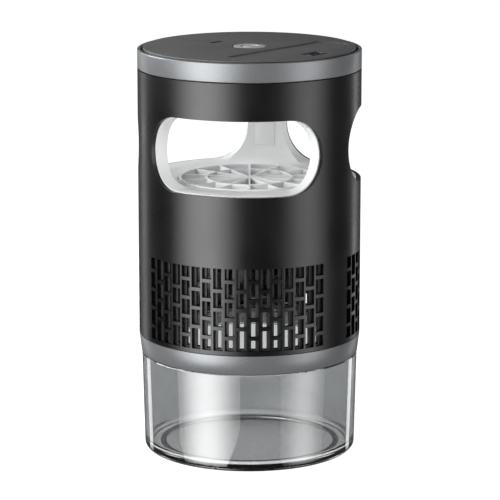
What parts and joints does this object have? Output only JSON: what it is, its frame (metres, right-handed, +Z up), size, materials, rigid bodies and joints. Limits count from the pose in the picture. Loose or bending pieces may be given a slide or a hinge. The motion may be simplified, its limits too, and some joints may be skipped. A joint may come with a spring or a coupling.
{
  "type": "suction insect trap",
  "caption": "Cylindrical cordless insect trap: windowed intake over a fan, brick-pattern vents, clear lift-off catch cup and a flush top plate with button, socket and folding handle.",
  "frame": {"origin": "centre of the base, on the surface that the trap stands on", "axes": "+Z up along the body's axis; -Y points to the side of the charging socket; +X to the right seen from that side"},
  "size_m": [0.1088, 0.1088, 0.2],
  "materials": {
    "smoke_clear_plastic": "clear smoke-grey polycarbonate, polished",
    "foot_rubber": "matt black rubber",
    "seal_rubber": "black silicone",
    "silver_lacquer": "metallic silver lacquer on moulded plastic",
    "black_plastic": "satin black moulded plastic",
    "dark_plastic": "matt black moulded plastic",
    "fan_plastic": "semi-gloss black moulded plastic",
    "white_plastic": "satin white moulded plastic",
    "grille_plastic": "satin white moulded plastic",
    "motor_steel": "plain rolled steel",
    "cable_jacket": "black cable jacket",
    "violet_lens": "frosted violet-tinted diffuser",
    "white_board": "white solder mask",
    "led_body": "moulded lamp body",
    "battery_wrap": "blue shrink wrap",
    "green_board": "green solder mask",
    "switch_plastic": "black moulded plastic",
    "socket_plastic": "black moulded plastic",
    "plated_steel": "bright zinc or nickel plating",
    "grey_plastic": "fine-textured dark grey plastic",
    "button_metal": "satin aluminium",
    "black_window": "glossy black window"
  },
  "bodies": {
    "cup": {"catch_cup": "smoke_clear_plastic", "foot_ring": "foot_rubber", "cup_seal": "seal_rubber"},
    "head": {"collar_ring": "silver_lacquer", "top_ring": "silver_lacquer", "outer_shell": "black_plastic", "vent_cage": "dark_plastic", "motor_bracket": "dark_plastic", "inner_housing": "white_plastic", "cable_cover": "white_plastic", "intake_grille": "grille_plastic", "lamp_tray": "white_plastic", "fan_motor": "motor_steel", "motor_cable": "cable_jacket", "lamp_lens": "violet_lens", "lamp_board": "white_board", "battery_pack": "battery_wrap", "control_board": "green_board", "button_switch": "switch_plastic", "socket_surround": "socket_plastic", "socket_tongue": "socket_plastic", "charging_socket": "plated_steel", "top_plate": "grey_plastic", "sensor_window": "black_window", "handle_pin_left": "plated_steel", "handle_pin_right": "plated_steel", "collar_screw_1": "plated_steel", "collar_screw_2": "plated_steel", "collar_screw_3": "plated_steel", "bracket_screw_1": "plated_steel", "bracket_screw_2": "plated_steel", "bracket_screw_3": "plated_steel", "motor_screw_1": "plated_steel", "motor_screw_2": "plated_steel", "motor_screw_3": "plated_steel", "tray_screw_1": "plated_steel", "tray_screw_2": "plated_steel", "tray_screw_3": "plated_steel", "board_screw_1": "plated_steel", "board_screw_2": "plated_steel", "top_screw_1": "plated_steel", "top_screw_2": "plated_steel", "top_screw_3": "plated_steel", "lamp_led_1": "led_body", "lamp_led_2": "led_body", "lamp_led_3": "led_body", "lamp_led_4": "led_body", "lamp_led_5": "led_body", "lamp_led_6": "led_body"},
    "fan": {"fan_rotor": "fan_plastic", "fan_shaft": "motor_steel"},
    "button": {"power_button": "button_metal"},
    "handle": {"fold_handle": "grey_plastic"}
  },
  "joints": [
    {"name": "head_lift", "type": "slide", "parent": "cup", "child": "head", "axis": [0, 0, 1], "range_m": [0, 0.06]},
    {"name": "fan_spin", "type": "hinge", "parent": "head", "child": "fan", "pos_m": [0, 0, 0.086], "axis": [0, 0, 1], "continuous": true},
    {"name": "button_press", "type": "slide", "parent": "head", "child": "button", "axis": [0, 0, -1], "range_m": [0, 0.0008], "stiffness_N_per_m": 400, "springref_m": -0.0004},
    {"name": "handle_fold", "type": "hinge", "parent": "head", "child": "handle", "pos_m": [0, -0.0168, 0.1985], "axis": [-1, 0, 0], "range_deg": [0, 90]}
  ]
}
